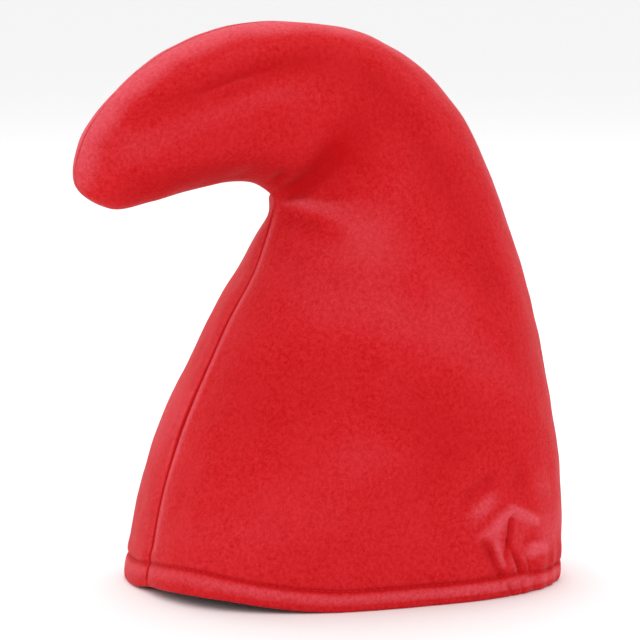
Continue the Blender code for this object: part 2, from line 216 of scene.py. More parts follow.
# Broad and shallow, where the soft cloth sags and swells.
DENTS = (
    Fold("dent round the bend",
         ((-45, 258.5, 0.6), (-17, 257, 1.5), (-1, 247, 1.6), (14, 231, 1.5), (29, 205, 1.3),
          (41, 177, 1.3), (49, 148, 0.9), (56, 120, 0)), 14, 22, 0),
    Fold("dent under the bend",
         ((-37, 193, 0.4), (-30, 202, 1.5), (-22, 216, 2.2), (-14.5, 228, 1.6), (-8, 238, 0)), 14, 26, 0),
    Fold("dent under the peak",
         ((-116, 198, 0.7), (-90, 199.5, 1.3), (-60, 201, 1.6), (-45, 202, 0.8)), 14, 14, 0),
    Fold("swell of the peak",
         ((-118, 217, -0.6), (-89, 230, -0.7), (-50, 241.5, -1.0), (-34, 243.5, -0.6)), 10, 12, 0),
    Fold("swell across the crown",
         ((-30, 184, -0.5), (-18, 180, -0.9), (-11, 166, -0.8), (-2, 147, -0.7), (21.5, 135, -0.7),
          (43, 121, -0.6), (68, 107, -0.3)), 26, 26, 0),
    Fold("swell before the crown", ((-46, 154, -0.5), (-34, 141, -0.9), (-12, 138, -0.7)), 20, 22, 0),
    Fold("dent across the waist",
         ((-82, 96, 0.6), (-70, 103, 0.9), (-40, 106, 0.7), (-18, 101, 1.0), (7, 93, 1.3), (33, 82, 1.3),
          (48, 72, 0.6)), 26, 30, 0),
    Fold("dent over the hem", ((14, 68, 0.6), (4, 62, 0.9), (-12, 56, 0.4)), 16, 16, 0),
    Fold("swell over the hem",
         ((-96, 32, -0.3), (-76, 33, -0.5), (-46, 43, -0.5), (-18, 36, -0.3)), 18, 16, 0),
)
# Painted shade on the nap, darker, or a painted highlight, paler where the number is negative: darker under
# the peak and inside the bend, paler on the hood, the hem and along the top. The third number is a share of
# the full painted shade here, not a depth.
NAP_SHADE_AND_HIGHLIGHT = (
    Fold("inside of the bend",
         ((-38, 194, 0.2), (-30, 200, 0.4), (-21, 213, 0.5), (-12, 229, 0.3), (0, 241, 0.1)), 14, 34, 0),
    Fold("under the peak", ((-122, 194, 0.2), (-96, 197, 0.4), (-70, 199, 0.5), (-46, 199, 0.4)), 16, 8, 0),
    Fold("over the bend", ((-30, 257, 0.1), (-4, 250, 0.2), (14, 231, 0.2), (30, 200, 0.1)), 12, 20, 0),
    Fold("behind the crown", ((44, 165, 0.1), (47, 150, 0.35), (50, 138, 0.1)), 22, 16, 0),
    Fold("across the crown", ((-31, 184, -0.2), (-12, 170, -0.1), (4, 146, 0.1)), 16, 20, 0),
    Fold("over the bend's foot", ((40, 128, 0.1), (60, 116, 0.15), (80, 104, 0.15)), 22, 14, 0),
    Fold("before the nape", ((0, 92, 0.1), (14, 70, 0.25), (10, 55, 0.15)), 24, 22, 0),
    Fold("low on the side", ((-92, 36, 0.05), (-60, 40, 0.15), (-30, 44, 0.1)), 24, 22, 0),
    Fold("hem", ((-95, 4, -0.15), (-50, 4, -0.3), (0, 4, -0.35), (60, 4, -0.65), (90, 4, -0.7)), 7, 7, 0),
    Fold("cheek", ((45, 37, -0.4), (41.5, 28, -0.6), (43.5, 17, -0.5)), 4, 4, 0),
    Fold("hood", ((36, 31, -0.4), (51, 41, -0.6), (66, 34.5, -0.4)), 4, 5, 0),
    Fold("patch behind", ((59, 18, -0.4), (64, 20.5, -0.6), (72, 20, -0.3)), 5, 5, 0),
    Fold("puff before the hood", ((28, 40, -0.15), (36, 45, -0.25), (42, 49, -0.1)), 6, 6, 0),
    Fold("top",
         ((-141, 200, -0.5), (-137, 221, -0.8), (-121, 241.5, -1.0), (-96, 260, -1.0), (-64, 272, -1.0),
          (-27, 275, -1.0), (4, 270.5, -0.9), (34, 254.5, -0.6), (58, 228, -0.3),
          (71, 202, -0.1)), 7, 7, 0),
    Fold("nape", ((55, 26, -0.2), (72, 28, -0.4), (90, 26, -0.4)), 16, 12, 0),
)
# Along is the distance from the back seam here, round the rim.
NAPE_GATHERS = (
    Fold("crease over the elastic's end",
         ((106.4, 40.5, 0), (106.8, 38, 1.6), (107.6, 32, 2.4), (109.4, 26.5, 2.4), (111.4, 22.5, 1.4),
          (113, 17, 0)), 3.2, 2.8, 0.5),
    Fold("crease down to the stitching",
         ((109.4, 26, 0.8), (106.4, 18.8, 2.0), (103.6, 13.8, 2.4), (103, 10.5, 1.2)), 2.8, 3.0, 0.5),
    Fold("nub in the fork",
         ((110.6, 20.5, -0.3), (109.2, 17.5, -1.4), (108, 14.2, -1.1), (107.6, 11.5, 0)), 2.6, 2.4, 0),
    Fold("hood",
         ((130, 28, 0), (126.5, 30.2, -1.3), (120.5, 34, -1.9), (114.5, 38.2, -2.3), (106, 42, -2.8),
          (98.2, 38.8, -2.3), (89.5, 34.4, -1.2), (85.5, 31.5, 0)), 4.6, 3.6, 0.3),
    Fold("cheek before the crease",
         ((120, 31.5, -0.4), (118.8, 27, -1.5), (117, 21, -1.6), (115.2, 15, -1.2),
          (114.2, 11.5, 0)), 3.4, 3.0, 0.15),
    Fold("valley before the hood",
         ((128.5, 31, 0), (123.6, 27, 1.6), (118.8, 19.4, 2.3), (115.2, 12.3, 2.4),
          (114.8, 9.5, 0.8)), 5.6, 3.0, 0.4),
    Fold("shelf behind the hood",
         ((100.5, 24.8, 0), (97.6, 25.4, 1.3), (92, 25.8, 1.4), (87.4, 24.8, 0.8),
          (83, 24, 0)), 2.4, 3.2, 0.3),
    Fold("valley before the puff",
         ((99, 23.5, 0.3), (97.6, 18, 1.0), (96.2, 13.5, 1.1), (95.8, 10.5, 0.5)), 3.2, 3.0, 0.3),
    Fold("puff above the valley",
         ((132, 40, 0), (127, 43, -1.1), (121, 47, -1.2), (113, 52.5, 0)), 7, 6, 0.1),
    Fold("valley above the puff",
         ((138, 46.5, 0), (130.5, 50.6, 1.2), (118, 57, 1.4), (109, 61, 0)), 8, 5, 0.2),
    Fold("valley under the hood's back", ((101, 28.5, 0), (92.5, 30, 1.0), (82, 30, 0)), 5, 5, 0.2),
    Fold("puff behind",
         ((98.5, 17.5, 0), (95.5, 20.6, -1.9), (89, 21.4, -1.8), (80, 19.5, -0.6),
          (74, 18, 0)), 3.4, 6, 0.1),
    Fold("dip over the hood", ((98, 47, 0), (97.5, 55, 1.0), (97, 68, 0)), 10, 10, 0),
    Fold("puff over the hood's back", ((84, 40, 0), (82, 50, -1.0), (80, 64, 0)), 12, 12, 0),
    Fold("hem's first pucker", ((112, 9.5, 0.3), (110.4, 5, 1.6), (107.6, 0.5, 1.2)), 2.4, 2.4, 0.6),
    Fold("hem's second pucker", ((102.8, 9.5, 0.5), (101.8, 5, 1.4), (101, 0.5, 1.0)), 2.2, 2.2, 0.6),
    Fold("hem's third pucker", ((106, 9.5, 0.2), (105, 5, 0.7), (104.4, 0.5, 0.5)), 1.8, 1.8, 0.5),
    Fold("hem's pucker behind", ((92, 12, 0.8), (91.5, 6, 1.2), (91, 0, 0.9)), 6, 6, 0.2),
    Fold("gather 5", ((79, 26, 0), (78.5, 14, 0.7), (78, 0, 0.6)), 6.5, 6.5, 0.1),
    Fold("gather 4", ((66.5, 30, 0), (66, 16, 0.9), (65.6, 0, 0.8)), 8, 7, 0.1),
    Fold("gather 3", ((52.5, 24, 0), (53, 13, 0.8), (53, 0, 0.8)), 6, 7, 0.1),
    Fold("gather 2", ((42, 34, 0), (41.6, 17, 1.1), (41, 0, 1.0)), 8, 8, 0.2),
    Fold("gather 1", ((28.5, 22, 0), (28.3, 12, 0.8), (28, 0, 0.8)), 6, 6, 0.2),
    Fold("gather 0", ((16, 30, 0), (15.6, 15, 1.1), (15.4, 0, 1.0)), 7, 7, 0.2),
)
# The rim arches up a little by the front seam: distance from that seam and how high, in millimetres. A
# negative distance is on the wearer's right.
FRONT_LIFT = (
    (-60, 0.0), (-30, 0.0), (-16, 0.6), (0, 3.0), (20, 4.3), (40, 5.2), (58, 5.2), (72, 4.2), (86, 2.7),
    (100, 1.3), (118, 0.0), (140, 0.0),
)
# Height of the stitching over its usual height, by the distance from the back seam
STITCH_LINE = (
    (-10, -1.2), (0, -1.2), (60, -1.4), (83, -1.5), (96, -0.8), (103, 0.1), (109, -0.3), (117, -0.7),
    (133, -1.0), (164, -1.0), (224, -0.6), (250, 0.2), (283, 1.8), (303, 1.4), (322, 0.5), (340, 0.2),
)


def smooth_curve(knots, values, at):
    """The values at other places on a smooth curve through them, with tangents from neighbouring points."""
    knots, values, at = np.asarray(knots, float), np.asarray(values, float), np.asarray(at, float)
    step = np.diff(knots)
    slope = (np.diff(values, axis=0).T / step).T
    inner = ((slope[:-1].T * step[1:] + slope[1:].T * step[:-1]) / (step[1:] + step[:-1])).T
    tangent = np.concatenate([slope[:1], inner, slope[-1:]])
    k = np.clip(np.searchsorted(knots, at, side="right") - 1, 0, len(step) - 1)
    t = (at - knots[k]) / step[k]
    h = step[k]
    if values.ndim == 2:
        t, h = t[..., None], h[..., None]
    share = t * t * (3 - 2 * t)
    return (
        values[k] * (1 - share)
        + values[k + 1] * share
        + tangent[k] * h * t * (1 - t) ** 2
        - tangent[k + 1] * h * t * t * (1 - t)
    )


def unit(vectors):
    """The same directions with a length of 1."""
    return vectors / np.maximum(np.linalg.norm(vectors, axis=-1, keepdims=True), 1e-12)


def section_knots():
    """The seam's points in front and behind, and each section's place from 0 at the rim to 1 at the tip."""
    front = np.array([(s.front_y, s.front_z) for s in SECTIONS] + [TIP])
    back = np.array([(s.back_y, s.back_z) for s in SECTIONS] + [TIP])
    steps = np.linalg.norm(np.diff(front, axis=0), axis=1) + np.linalg.norm(np.diff(back, axis=0), axis=1)
    along = np.concatenate([[0], np.cumsum(steps)])
    return front * MM, back * MM, along / along[-1]


FRONT, BACK, KNOTS = section_knots()
EDGE = np.concatenate([FRONT, BACK[-2::-1]])
EDGE_KNOTS = np.concatenate([KNOTS, 2 - KNOTS[-2::-1]])
SHAPES = np.array([(s.width_ratio, s.front_fullness, s.back_fullness) for s in SECTIONS])
SHAPES = np.concatenate([SHAPES, SHAPES[-1:]])
LOW_KNOTS = KNOTS[:LOW_SECTIONS]
LOW_HEIGHTS = (FRONT[:LOW_SECTIONS, 1] + BACK[:LOW_SECTIONS, 1]) / 2


def height_of_place(s):
    """Height of the middle of each row, on the low part of the hat."""
    return np.interp(s, LOW_KNOTS, LOW_HEIGHTS)


def place_of_height(height):
    """Row places for heights on the low part of the hat."""
    return np.interp(height, LOW_HEIGHTS, LOW_KNOTS)


def section_curves(s):
    """The +X half of the section at each s as a chain of points from the front seam to the back seam."""
    front = smooth_curve(EDGE_KNOTS, EDGE, s)
    back = smooth_curve(EDGE_KNOTS, EDGE, 2 - s)
    ratio, front_full, back_full = smooth_curve(KNOTS, SHAPES, s).T
    middle, half = (front + back) / 2, (back - front) / 2
    half_width = ratio * np.linalg.norm(half, axis=1)
    turn = np.linspace(0, math.pi, CURVE_POINTS)
    blend = (1 + np.cos(turn)) / 2
    power = 2 / (front_full[:, None] * blend + back_full[:, None] * (1 - blend))
    along = -np.sign(np.cos(turn)) * np.abs(np.cos(turn)) ** power
    across = np.abs(np.sin(turn)) ** power
    points = np.empty((len(s), CURVE_POINTS, 3))
    points[..., 0] = half_width[:, None] * across
    points[..., 1:] = middle[:, None] + half[:, None] * along[..., None]
    return points


def arc_lengths(points):
    """Lengths along rows of points, from each row's first point."""
    steps = np.linalg.norm(np.diff(points, axis=1), axis=2)
    return np.concatenate([np.zeros((len(points), 1)), np.cumsum(steps, axis=1)], axis=1)


def row_lengths(s):
    """Lengths of the rows at s, from the front seam to the back seam."""
    return arc_lengths(section_curves(s))[:, -1]


RIM_LENGTH = row_lengths(np.zeros(1))[0]


def plain_surface(s, f):
    """The smooth outside at row places s and shares f of the way from the front to the back seam."""
    inside = np.where(f > 1, 2 - f, np.abs(f))
    side = np.where((f < 0) | (f > 1), -1.0, 1.0)
    curves = section_curves(s)
    lengths = arc_lengths(curves)
    found = np.empty((*f.shape, 3))
    for row in range(len(s)):
        at = inside[row] * lengths[row, -1]
        for axis in range(3):
            found[row, :, axis] = np.interp(at, lengths[row], curves[row, :, axis])
    found[..., 0] *= side
    return found


def plain_normals(s, f):
    """Outward unit normals of the smooth outside."""
    ds, df = 1e-3, 4e-3
    low, high = np.maximum(s - ds, 0), np.minimum(s + ds, 1 - 1e-6)
    along = plain_surface(high, f) - plain_surface(low, f)
    across = plain_surface(s, f + df) - plain_surface(s, f - df)
    return unit(np.cross(across, along))


def seam_distances(s, f):
    """Row lengths, and how far each place is from the front seam, the back seam and the nearer one."""
    length = row_lengths(s)[:, None]
    from_front, from_back = np.abs(f) * length, np.abs(1 - f) * length
    return length, from_front, from_back, np.minimum(from_front, from_back)


def fade(x):
    """1 at x = 0 and 0 from x = 1 on, smooth at both ends."""
    x = np.clip(np.abs(x), 0, 1)
    return (1 - x * x) ** 2


def rise(x):
    """0 up to x = 0 and 1 from x = 1 on, smooth at both ends."""
    x = np.clip(x, 0, 1)
    return x * x * (3 - 2 * x)


def bell(x):
    """1 at x = 0 and falling off round it without an end."""
    return np.exp(-(x**2))


def near_notch(points, height, reach):
    """1 at the notch under the peak, falling off round it."""
    off = (points[..., 1] - NOTCH_Y) ** 2 + (height - NOTCH_Z) ** 2
    return np.exp(-off / reach**2)


def on_side(points, side):
    """The points on their own side of the hat, 1 for the wearer's left and -1 for the right."""
    return points * np.array([side, 1, 1])


def fold_depth(folds, along, up):
    """How far a table of folds draws the outside in, at places in metres."""
    depth = np.zeros(np.broadcast_shapes(along.shape, up.shape))
    for fold in folds:
        nearest = np.full(depth.shape, np.inf)
        middle = np.zeros(depth.shape)
        width = np.ones(depth.shape)
        line = np.array(fold.line) * MM
        for start, end in zip(line[:-1], line[1:]):
            run = end - start
            share = ((along - start[0]) * run[0] + (up - start[1]) * run[1]) / (run[0] ** 2 + run[1] ** 2)
            share = np.clip(share, 0, 1)
            off_along, off_up = along - start[0] - run[0] * share, up - start[1] - run[1] * share
            off = np.hypot(off_along, off_up)
            closer = off < nearest
            on_left = run[0] * off_up - run[1] * off_along > 0
            nearest = np.where(closer, off, nearest)
            middle = np.where(closer, start[2] + run[2] * share, middle)
            width = np.where(closer, np.where(on_left, fold.left, fold.right) * MM, width)
        away = nearest / width
        sharp = (1 - np.clip(away, 0, 1)) ** 2
        depth += middle * (fold.sharp * sharp + (1 - fold.sharp) * fade(away))
    return depth


def wave_table(seed, count, shortest, longest):
    """Random plane waves, the longer the stronger."""
    source = np.random.default_rng(seed)
    length = shortest * (longest / shortest) ** source.random(count)
    way = unit(source.normal(size=(count, 3)))
    strength = length / np.sqrt((length**2).sum() / 2)
    return way * (2 * math.pi / length)[:, None], source.random(count) * 2 * math.pi, strength


def waves(table, points):
    """A smooth random value around 0 at each point, about 1 at its usual peaks."""
    way, start, strength = table
    return (np.sin(points @ way.T + start) * strength).sum(axis=-1)


BROAD = wave_table(11, 26, 48 * MM, 120 * MM)
FINE = wave_table(5, 40, 12 * MM, 30 * MM)
SWAY = wave_table(23, 12, 90 * MM, 200 * MM)


def front_lift(from_front_seam, height):
    """How far the rim is lifted, at a distance from the front seam that is negative on the wearer's right."""
    table = np.array(FRONT_LIFT) * MM
    at = np.clip(from_front_seam, table[0, 0], table[-1, 0])
    lift = np.maximum(smooth_curve(table[:, 0], table[:, 1], at), 0)
    return lift * fade(height / LIFT_HEIGHT)


def folds(points, height, from_front, from_back, side):
    """How far the folds and gathers draw the outside in, flatter and a little shifted on the right side."""
    y = points[..., 1]
    if side > 0:
        depth = fold_depth(SIDE_FOLDS, y, height) * rise(from_front / (6 * MM))
        return depth + fold_depth(NAPE_GATHERS, from_back, height)
    begun = rise((from_front - 2 * MM) / (16 * MM))
    depth = fold_depth(SIDE_FOLDS, y + RIGHT_FOLD_SHIFT, height) * begun
    shift = RIGHT_GATHER_SHIFT * fade((from_back - 100 * MM) / (90 * MM))
    return RIGHT_FOLD_SHARE * (depth + fold_depth(NAPE_GATHERS, from_back - shift, height))


def dents(points, height, from_seam, side):
    """How far the soft cloth's broad dents and swells move the outside in."""
    y = points[..., 1]
    higher = LOW_WANDER_SHARE + (1 - LOW_WANDER_SHARE) * rise(height / (70 * MM))
    wander = waves(BROAD, on_side(points, side)) * higher * (1 - near_notch(points, height, 26 * MM))
    settled = rise(from_seam / (14 * MM))
    if side > 0:
        return fold_depth(DENTS, y, height) * settled + LEFT_WANDER * wander
    shifted = fold_depth(DENTS, y - RIGHT_DENT_SHIFT_Y, height - RIGHT_DENT_SHIFT_Z)
    return RIGHT_DENT_SHARE * shifted * settled + RIGHT_WANDER * wander


def seam_open(points):
    """How far the nap leaves the seam open: all of it, but little by the notch and on the peak."""
    up_on_peak = rise((points[..., 2] - PEAK_BOTTOM) / (16 * MM))
    out_on_peak = rise((PEAK_BACK - points[..., 1]) / (30 * MM))
    return 1 - PEAK_SEAM_CLOSED * up_on_peak * out_on_peak


def relief(points, height, from_front, from_back, side):
    """How far folds, gathers and the cloth's own unevenness draw the outside in."""
    from_seam = np.minimum(from_front, from_back)
    depth = folds(points, height, from_front, from_back, side)
    depth += dents(points, height, from_seam, side)
    depth += FINE_WAVE * waves(FINE, on_side(points, side)) * rise(from_seam / (6 * MM))
    depth += SEAM_DIP * bell(from_seam / SEAM_DIP_REACH) * seam_open(points)
    depth -= HEM_BULGE * fade((height - HEM_BULGE_HEIGHT) / HEM_BULGE_REACH)
    depth -= WALL_BULGE * fade((height - WALL_BULGE_HEIGHT) / WALL_BULGE_REACH)
    return depth


def roll(distance, radius):
    """Depth of an edge rolled to this radius, at a distance from the edge, as a share of the radius."""
    away = np.clip(distance / radius, 0, 1)
    return 1 - np.sqrt(np.maximum(1 - (1 - away) ** 2, 0))


def seam_strength(points, length):
    """How deep the seam shows, from 1 to 0 at the tip."""
    return np.clip(length / SEAM_END_ROW, 0, 1) * seam_open(points)


def grooves(points, height, from_seam, length, side):
    """How far the seam and the hem's stitching pull the outside alone in."""
    seam = SEAM_ROLL * seam_strength(points, length) * roll(from_seam, SEAM_ROLL)
    uneven = 1 + STITCH_SINK_VARIES * waves(FINE, on_side(points, side))
    stitch = STITCH_SINK * uneven * fade((height - STITCH_HEIGHT) / STITCH_ROLL)
    return np.sqrt(seam**2 + stitch**2)


def skin(s, f, depth, side, outer=False):
    """Points at a depth under the hat's outside, at row places s and shares f of the way to the back seam."""
    length, from_front, from_back, from_seam = seam_distances(s, f)
    base = plain_surface(s, f)
    normal = plain_normals(s, f)
    level = height_of_place(s)[:, None]
    # Near the rim the rows are level and the cloth's thickness is measured level too.
    held = 1 - rise((level - 8 * MM) / (22 * MM))
    base[..., 2] += (level - base[..., 2]) * held
    normal[..., 2] *= 1 - held
    normal = unit(normal)
    height = base[..., 2].copy()
    depth = depth + relief(base, height, from_front, from_back, side)
    if outer:
        depth = depth + grooves(base, height, from_seam, length, side)
    points = base - normal * depth[..., None]
    line = np.array(STITCH_LINE) * MM
    raised = smooth_curve(line[:, 0], line[:, 1], from_back)
    points[..., 2] += raised * fade((height - STITCH_HEIGHT) / STITCH_LINE_REACH)
    points[..., 2] += front_lift(side * from_front, height)
    return points


def painted_shade_and_highlight(s, f, side):
    """Painted shade and highlight on the nap, from 1, painted shade in the folds, dents and seams, to -1, a
    painted highlight on their raised places.
    """
    length, from_front, from_back, from_seam = seam_distances(s, f)
    base = plain_surface(s, f)
    height = base[..., 2]
    # Painted shade in the folds and dents, and a painted highlight on their ridges and swells.
    shade_and_light = folds(base, height, from_front, from_back, side) / FOLD_OF_FULL_SHADE
    shade_and_light += dents(base, height, from_seam, side) / DENT_OF_FULL_SHADE
    shade_and_light += fold_depth(NAP_SHADE_AND_HIGHLIGHT, base[..., 1], height) / MM
    seam = seam_strength(base, length)
    # Painted shade along the seam's groove.
    shade_and_light += SEAM_SHADE * bell(from_seam / SEAM_SHADE_REACH) * seam
    # Painted highlight on the rolled lips beside the seam.
    lip = bell((from_seam - LIP_DISTANCE) / LIP_REACH) * rise((height - LIP_START) / (6 * MM))
    shade_and_light -= (LEFT_LIP_HIGHLIGHT if side > 0 else RIGHT_LIP_HIGHLIGHT) * lip * seam
    # Painted shade along the hem's stitching groove.
    shade_and_light += STITCH_SHADE * bell((height - STITCH_HEIGHT) / STITCH_SHADE_REACH)
    # Painted highlight on the hem's top edge, under the stitching.
    shade_and_light -= HEM_HIGHLIGHT * fade((height - HEM_HIGHLIGHT_HEIGHT) / HEM_HIGHLIGHT_REACH)
    return np.clip(shade_and_light, -1, 1)


def sway(points):
    """A slow sideways wander of the whole hat, so that its two halves aren't each other's mirror image."""
    moved = points.copy()
    flat = on_side(points, 0)
    free = rise(points[..., 2] / (60 * MM)) * (1 - near_notch(flat, flat[..., 2], 40 * MM))
    moved[..., 0] += SWAY_SIZE * waves(SWAY, flat) * free
    return moved


def inner_columns():
    """Shares of the space between the columns near the seams, at the rim's spacing."""
    near = NEAR_COLUMNS[-1]
    stops = (near, RIM_LENGTH - FINE_SPAN[0], RIM_LENGTH - FINE_SPAN[1], RIM_LENGTH - near)
    spacing = (FRONT_COLUMN, FINE_COLUMN, NAPE_COLUMN)
    places = [
        np.linspace(a, b, round((b - a) / step), endpoint=False)
        for a, b, step in zip(stops[:-1], stops[1:], spacing)
    ]
    places = np.concatenate(places)[1:]
    return (places - near) / (RIM_LENGTH - 2 * near)


INNER_COLUMNS = inner_columns()


def column_shares(s, root):
    """Shares of the way from the front to the back seam; root is where each row's first column stands."""
    scale = np.maximum(row_lengths(s), SHORT_ROW)[:, None]
    near = (root[:, None] + np.array(NEAR_COLUMNS)[None]) / scale
    edge = near[:, -1:]
    return np.concatenate([near, edge + (1 - 2 * edge) * INNER_COLUMNS[None], 1 - near[:, ::-1]], axis=1)


def wall_places():
    """Row places from the hem's fold to the tip, close together at the stitching and the gathers."""
    heights = np.concatenate(
        [
            np.arange(4.0, 9.0, 0.8),
            STITCH_HEIGHT / MM + np.array(STITCH_ROWS),
            np.arange(13.2, 24, 0.95),
            np.arange(24.3, 62, 1.25),
        ]
    )
    low = place_of_height(heights * MM)
    places = np.linspace(low[-1], TIP_START, PATH_POINTS)
    path = smooth_curve(KNOTS, (FRONT + BACK) / 2, places)
    run = arc_lengths(path[None])[0]
    count = round(run[-1] / UPPER_ROW)
    upper = np.interp(np.linspace(0, run[-1], count + 1)[1:], run, places)
    closing = 1 - (1 - np.linspace(0, 1, TIP_ROWS + 1)[1:]) ** 1.6
    return np.concatenate([low, upper, TIP_START + (TIP_END - TIP_START) * closing])


class HemLine(NamedTuple):
    """A line round the hem: the depth and height of its face outside the slot and of its face in the slot."""

    depth: float
    height: float
    slot_depth: float
    slot_height: float


def hem_lines():
    """The hem's lines from its raw edge inside, down the turned-up layer and round the fold's two corners."""
    sewn = CLOTH + HEM_PINCH
    top = sewn + HEM_PINCH
    slot_back = CLOTH + HEM_SLOT
    fold_back = slot_back + CLOTH
    rounding = 0.35 * MM
    over, under = STITCH_HEIGHT + 1.3 * MM, STITCH_HEIGHT - 1.2 * MM
    lines = [
        HemLine(CLOTH + top - rounding, HEM_TURN, top + rounding, HEM_TURN),
        HemLine(CLOTH + top, HEM_TURN - 0.5 * MM, top, HEM_TURN - 0.5 * MM),
        HemLine(CLOTH + sewn, over, sewn, over),
        HemLine(INNER_STITCH_DEPTH, STITCH_HEIGHT, sewn, STITCH_HEIGHT),
        HemLine(2 * CLOTH + 0.5 * MM, under, sewn + 0.2 * MM, under),
        HemLine(fold_back - 0.2 * MM, 8.4 * MM, slot_back - 0.2 * MM, 8.6 * MM),
        HemLine(fold_back, 6.0 * MM, slot_back, 6.2 * MM),
    ]
    corner = []
    for degrees in (90, 68, 46, 23, 0):
        inwards, down = 1 - math.sin(math.radians(degrees)), 1 - math.cos(math.radians(degrees))
        slot_depth = CLOTH + 0.35 * HEM_SLOT * inwards
        corner.append(HemLine(FOOT * inwards, HEM_CORNER * down, slot_depth, CLOTH + SLOT_CORNER * down))
    back_corner = [
        HemLine(fold_back - line.depth, line.height, fold_back - line.slot_depth, line.slot_height)
        for line in corner
    ]
    return lines + back_corner + corner[::-1]


def hem_faces(side):
    """The hem's face outside the slot, and its face in the slot."""
    lines = np.array(hem_lines())
    rim = np.zeros(1)
    columns = column_shares(rim, np.array([HALF_GAP]))
    f = np.repeat(columns, len(lines), axis=0)
    outer, inner = (skin(place_of_height(lines[:, k + 1]), f, lines[:, k, None], side) for k in (0, 2))
    seam = SEAM_ROLL * roll(np.minimum(columns, 1 - columns) * RIM_LENGTH, SEAM_ROLL)
    normal = plain_normals(rim, columns)
    normal[..., 2] = 0
    # Only the last lines are outside, where the sewn edges roll into the seam.
    outside = rise(np.arange(len(lines)) - (len(lines) - 5))[:, None]
    outer -= normal * (seam * outside)[..., None]
    return outer, inner


def allowances(wall):
    """How far the seam allowance stands inwards on each row of the wall."""
    over_hem = rise((height_of_place(wall) - ALLOWANCE_START) / ALLOWANCE_GROWTH)
    return SEAM_ALLOWANCE * rise((row_lengths(wall) - ALLOWANCE_ROW) / ALLOWANCE_ROW) * over_hem


def wall_faces(wall, shares, stand, root, side):
    """The wall's outside, its inside and the allowances' raw edges at both seams, all meeting at the tip."""
    outer = skin(wall, shares, 0, side, outer=True)
    inner = skin(wall, column_shares(wall, root + HALF_GAP), CLOTH, side)
    ripple = 1 + 0.12 * np.sin((wall - wall[0]) * 260)
    seams = np.repeat([[0.0, 1.0]], len(wall), axis=0)
    edges = skin(wall, seams, (CLOTH + stand * ripple)[:, None], side)
    edges[-1] = outer[-1] = inner[-1] = outer[-1].mean(axis=0)
    return outer, inner, edges


def panel_mesh(side):
    """One panel as a closed body, on the wearer's left for side 1 and right for side -1."""
    wall = wall_places()
    stand = allowances(wall)
    root = np.minimum(CLOTH, stand)
    shares = column_shares(wall, np.full(len(wall), HALF_GAP))
    outer_wall, inner_wall, wall_edges = wall_faces(wall, shares, stand, root, side)
    outer_hem, inner_hem = hem_faces(side)
    hem_rows = len(outer_hem)
    outer = np.concatenate([outer_hem, outer_wall])
    inner = np.concatenate([inner_hem, inner_wall])
    edges = np.concatenate([inner_hem[:, (0, -1)], wall_edges])
    roots = HALF_GAP + np.concatenate([np.zeros(hem_rows), root])

    # Nothing crosses the seam's plane, and the allowances stand between it and the inside.
    outer[..., 0] = np.maximum(outer[..., 0], HALF_GAP)
    outer[:, (0, -1), 0] = HALF_GAP
    inner[..., 0] = np.maximum(inner[..., 0], roots[:, None])
    inner[:, (0, -1), 0] = roots[:, None]
    on_plane, off_plane = edges.copy(), edges.copy()
    on_plane[..., 0] = HALF_GAP
    off_plane[..., 0] = roots[:, None]
    at_back = (on_plane[:, 1:], off_plane[:, 1:])
    at_front = (off_plane[:, :1], on_plane[:, :1])
    rings = np.concatenate([outer, *at_back, inner[:, ::-1], *at_front], axis=1)
    rings[-1] = rings[-1].mean(axis=0)

    # Painted shade and highlight, on the outside's faces only.
    shade_and_light = np.zeros(rings.shape[:2])
    shade_and_light[hem_rows:, :outer.shape[1]] = painted_shade_and_highlight(wall, shares, side)
    return lofted(sway(on_side(rings, side)) + FRAME_SHIFT, outer.shape[1], shade_and_light)


def lofted(rings, face_columns, shade_and_light):
    """A closed mesh through rings of points. The first one's two faces are joined, the last is a point."""
    rows, count = rings.shape[:2]
    mesh = bmesh.new()
    # Each vertex carries its painted shade and highlight for the fleece's colour.
    layer = mesh.verts.layers.float.new("painted_shade_and_highlight")
    corners = [[mesh.verts.new(p) for p in ring] for ring in rings[:-1]]
    for ring, values in zip(corners, shade_and_light):
        for vertex, value in zip(ring, values):
            vertex[layer] = value
    top = mesh.verts.new(rings[-1, 0])
    for i in range(rows - 1):
        for j in range(count):
            k = (j + 1) % count
            if i == rows - 2:
                face = mesh.faces.new((corners[i][j], corners[i][k], top))
            else:
                face = mesh.faces.new((corners[i][j], corners[i][k], corners[i + 1][k], corners[i + 1][j]))
            face.material_index = int(j >= face_columns)
    first = corners[0]
    for j in range(face_columns - 1):
        k = 2 * face_columns + 1 - j
        mesh.faces.new((first[j], first[j + 1], first[k - 1], first[k]))
    bmesh.ops.remove_doubles(mesh, verts=mesh.verts, dist=MERGE_DISTANCE)
    bmesh.ops.recalc_face_normals(mesh, faces=mesh.faces)
    return mesh


def add_tube(mesh, rings):
    """A closed tube through rings of vertices."""
    for low, high in zip(rings[:-1], rings[1:]):
        for j in range(len(low)):
            k = (j + 1) % len(low)
            mesh.faces.new((low[j], low[k], high[k], high[j]))
    mesh.faces.new(rings[0][::-1])
    mesh.faces.new(rings[-1])


def outside_path(side, height, depth, outer):
    """Points all along one side's rim at a height, and their level directions outwards."""
    count = round(RIM_LENGTH / PATH_STEP)
    margin = 1.2 * MM / RIM_LENGTH
    f = np.linspace(margin, 1 - margin, count)[:, None]
    s = np.full(count, place_of_height(height))
    points = skin(s, f, depth, side, outer)[:, 0]
    normal = plain_normals(s, f)[:, 0]
    normal[:, 2] = 0
    return sway(on_side(points, side)) + FRAME_SHIFT, on_side(unit(normal), side)


